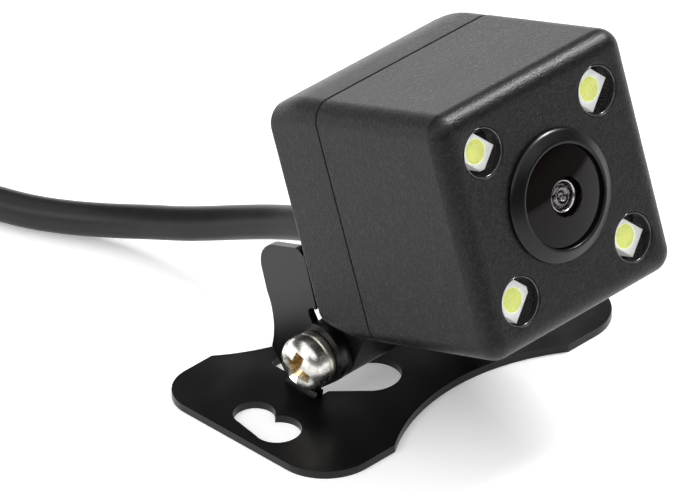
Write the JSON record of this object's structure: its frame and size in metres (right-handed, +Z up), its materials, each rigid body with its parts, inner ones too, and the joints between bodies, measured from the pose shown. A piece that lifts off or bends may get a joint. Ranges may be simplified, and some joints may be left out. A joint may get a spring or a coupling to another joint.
{
  "type": "backup camera",
  "caption": "Square-bodied vehicle backup camera with a wide lens and corner lamps, tilting on a bent steel bracket, with a coiled lead that ends in a threaded plug.",
  "frame": {"origin": "centre of the bracket's underside, which rests on the mounting surface", "axes": "+X to the right seen from in front of the lens, along the bracket's long side and the hinge axis; the lens faces -Y and, at rest, tilts up; +Z up from the mounting surface"},
  "size_m": [0.0551, 0.1433, 0.0388],
  "materials": {
    "bracket_paint": "semi-gloss black powder coat",
    "housing_plastic": "fine grain black moulding",
    "seal_rubber": "matt",
    "ring_plastic": "satin black moulding",
    "lens_glass": "coated, polished",
    "filter_glass": "coated, polished",
    "sensor_chip": "polished",
    "board_green": "solder mask",
    "board_black": "solder mask",
    "lamp_white": "moulded white",
    "lamp_yellow": "cast resin",
    "window_clear": "clear, polished",
    "socket_cream": "moulded",
    "wire_red": "extruded",
    "lead_rubber": "satin black jacket",
    "washer_black": "matt",
    "screw_steel": "nickel plated",
    "tie_plastic": "moulded",
    "pin_gold": "gold plated",
    "seal_red": "matt",
    "nut_plastic": "satin black moulding"
  },
  "bodies": {
    "bracket": {"bracket": "bracket_paint", "spring_washer": "screw_steel", "flat_washer": "screw_steel", "lock_nut": "screw_steel", "lead_cable": "lead_rubber", "lead_coil": "lead_rubber", "lead_tail": "lead_rubber", "cable_tie": "tie_plastic", "plug_body": "lead_rubber", "plug_insert": "ring_plastic", "plug_pins": "pin_gold", "plug_seal": "seal_red"},
    "camera": {"front_housing": "housing_plastic", "rear_cover": "housing_plastic", "seam_gasket": "seal_rubber", "lens_ring": "ring_plastic", "lens_barrel": "ring_plastic", "front_glass": "lens_glass", "rear_lens": "lens_glass", "lens_seal": "seal_rubber", "lens_holder": "ring_plastic", "ir_filter": "filter_glass", "image_sensor": "sensor_chip", "main_board": "board_green", "board_screws": "screw_steel", "lamp_board": "board_black", "lamp_packages": "lamp_white", "lamp_phosphors": "lamp_yellow", "lamp_windows": "window_clear", "board_socket": "socket_cream", "wire_plug": "socket_cream", "core_wires": "wire_red", "cable_boot": "lead_rubber", "friction_washers": "washer_black"},
    "screw": {"clamp_screw": "screw_steel"},
    "coupling_nut": {"plug_nut": "nut_plastic"}
  },
  "joints": [
    {"name": "camera_tilt", "type": "hinge", "parent": "bracket", "child": "camera", "pos_m": [0, -0.0013, 0.0056], "axis": [-1, 0, 0], "range_deg": [-28, 5], "deforming": ["lead_cable"]},
    {"name": "clamp_screw_turn", "type": "hinge", "parent": "bracket", "child": "screw", "pos_m": [0, -0.0013, 0.0056], "axis": [-1, 0, 0], "continuous": true},
    {"name": "coupling_nut_turn", "type": "hinge", "parent": "bracket", "child": "coupling_nut", "pos_m": [0.025, 0.112, 0.0056], "axis": [1, 0, 0], "continuous": true}
  ]
}
